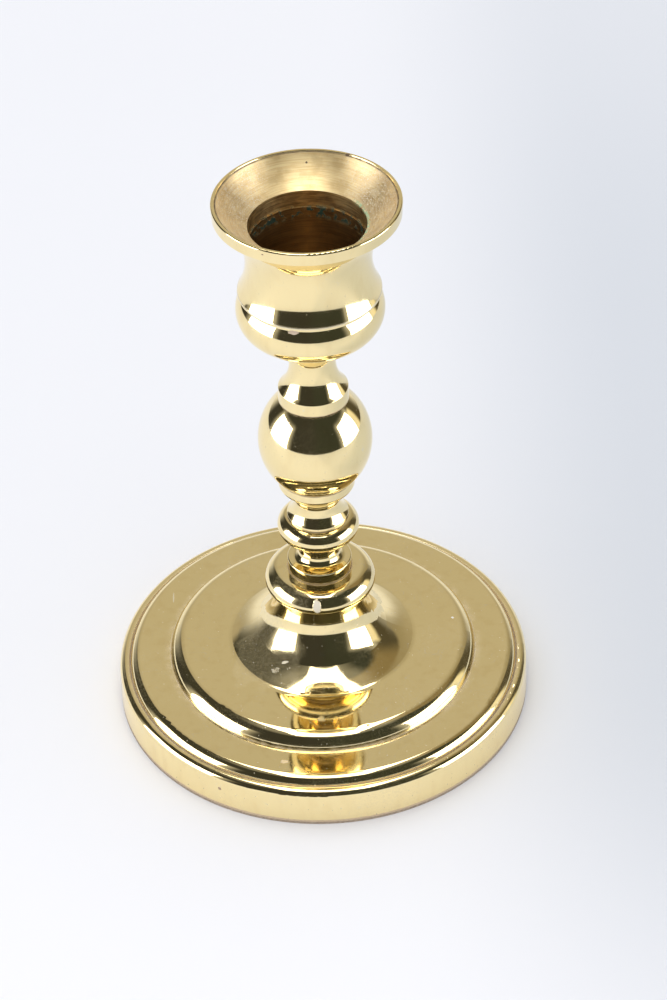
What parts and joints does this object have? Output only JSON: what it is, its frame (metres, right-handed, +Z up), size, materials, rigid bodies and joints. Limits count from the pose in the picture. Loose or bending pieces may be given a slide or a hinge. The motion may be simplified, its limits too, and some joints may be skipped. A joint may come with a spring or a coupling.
{
  "type": "candlestick",
  "caption": "Short turned brass candlestick: flared candle cup on a ball and beaded stem, over a wide hollow dished base with a beaded rim, closed below by a board and felt pad.",
  "frame": {"origin": "centre of the underside of the felt pad", "axes": "+Z up along the turning axis; the piece is round, so X and Y are free"},
  "size_m": [0.085, 0.085, 0.12],
  "materials": {
    "cup_brass": "mirror-polished and lacquered outside, satin turned inside, browned in the socket",
    "stem_brass": "mirror-polished and lacquered",
    "base_brass": "mirror-polished and lacquered above, as cast inside",
    "steel": "zinc-plated",
    "board": "pressed fibre board",
    "felt": "brown felt"
  },
  "bodies": {
    "root": {"candle_cup": "cup_brass", "ball_stem": "stem_brass", "bead_stem": "stem_brass", "large_bead": "stem_brass", "base_dish": "base_brass", "tie_rod": "steel", "tie_rod_washer": "steel", "tie_rod_nut": "steel", "base_board": "board", "felt_pad": "felt"}
  },
  "joints": []
}
